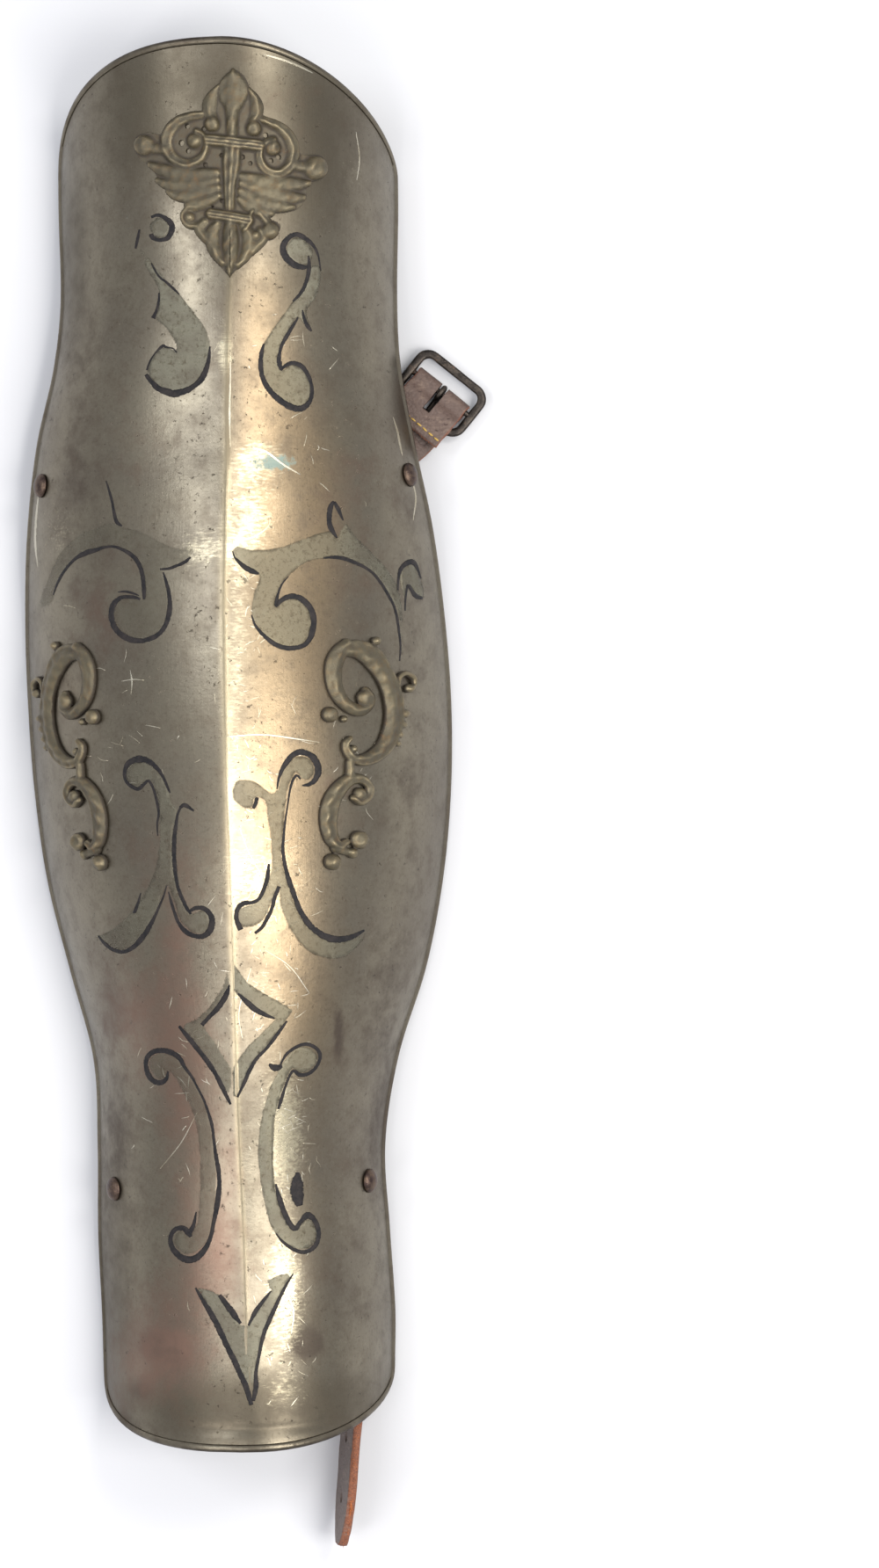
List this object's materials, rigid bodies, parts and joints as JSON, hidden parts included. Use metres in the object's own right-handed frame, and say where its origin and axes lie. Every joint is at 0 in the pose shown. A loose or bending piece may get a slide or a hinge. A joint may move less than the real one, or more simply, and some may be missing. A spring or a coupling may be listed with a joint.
{
  "type": "greave",
  "caption": "Tarnished metal shin guard with a central ridge, rolled rim, cast knee crest, cast calf scrolls and riveted leather buckle straps.",
  "frame": {"origin": "bottom centre of the whole part's box, on the ground that the open back lies on", "axes": "+Y runs up the shin to the knee, +Z points out of the shin, +X to the side that the upper buckle is on"},
  "size_m": [0.145, 0.458, 0.0621],
  "materials": {
    "plate_metal": "tarnished nickel silver, brushed and scratched, with painted scrollwork",
    "cast_metal": "aged plated casting with dark recesses",
    "strap_leather": "worn red-brown harness leather with a raw edge",
    "buckle_iron": "dark oiled iron with rubbed edges"
  },
  "bodies": {
    "root": {"plate": "plate_metal", "crest": "cast_metal", "scroll_left": "cast_metal", "scroll_right": "cast_metal", "rivet_upper_left": "cast_metal", "rivet_upper_right": "cast_metal", "rivet_lower_left": "cast_metal", "rivet_lower_right": "cast_metal", "upper_chape": "strap_leather", "lower_chape": "strap_leather", "upper_billet": "strap_leather", "lower_billet": "strap_leather"},
    "upper_frame": {"upper_buckle": "buckle_iron"},
    "upper_tongue": {"upper_prong": "buckle_iron"},
    "lower_frame": {"lower_buckle": "buckle_iron"},
    "lower_tongue": {"lower_prong": "buckle_iron"}
  },
  "joints": [
    {"name": "upper_buckle_swing", "type": "hinge", "parent": "root", "child": "upper_frame", "pos_m": [0.05836, 0.12729, 0.00351], "axis": [0.769, -0.6392, 0], "range_deg": [0, 60]},
    {"name": "upper_tongue_turn", "type": "hinge", "parent": "upper_frame", "child": "upper_tongue", "pos_m": [0.05836, 0.12729, 0.00351], "axis": [0.769, -0.6392, 0], "range_deg": [0, 145]},
    {"name": "lower_buckle_swing", "type": "hinge", "parent": "root", "child": "lower_frame", "pos_m": [-0.02851, -0.15667, 0.01366], "axis": [0, 0, -1], "range_deg": [0, 60]},
    {"name": "lower_tongue_turn", "type": "hinge", "parent": "lower_frame", "child": "lower_tongue", "pos_m": [-0.02851, -0.15667, 0.01366], "axis": [0, 0, -1], "range_deg": [0, 145]}
  ]
}
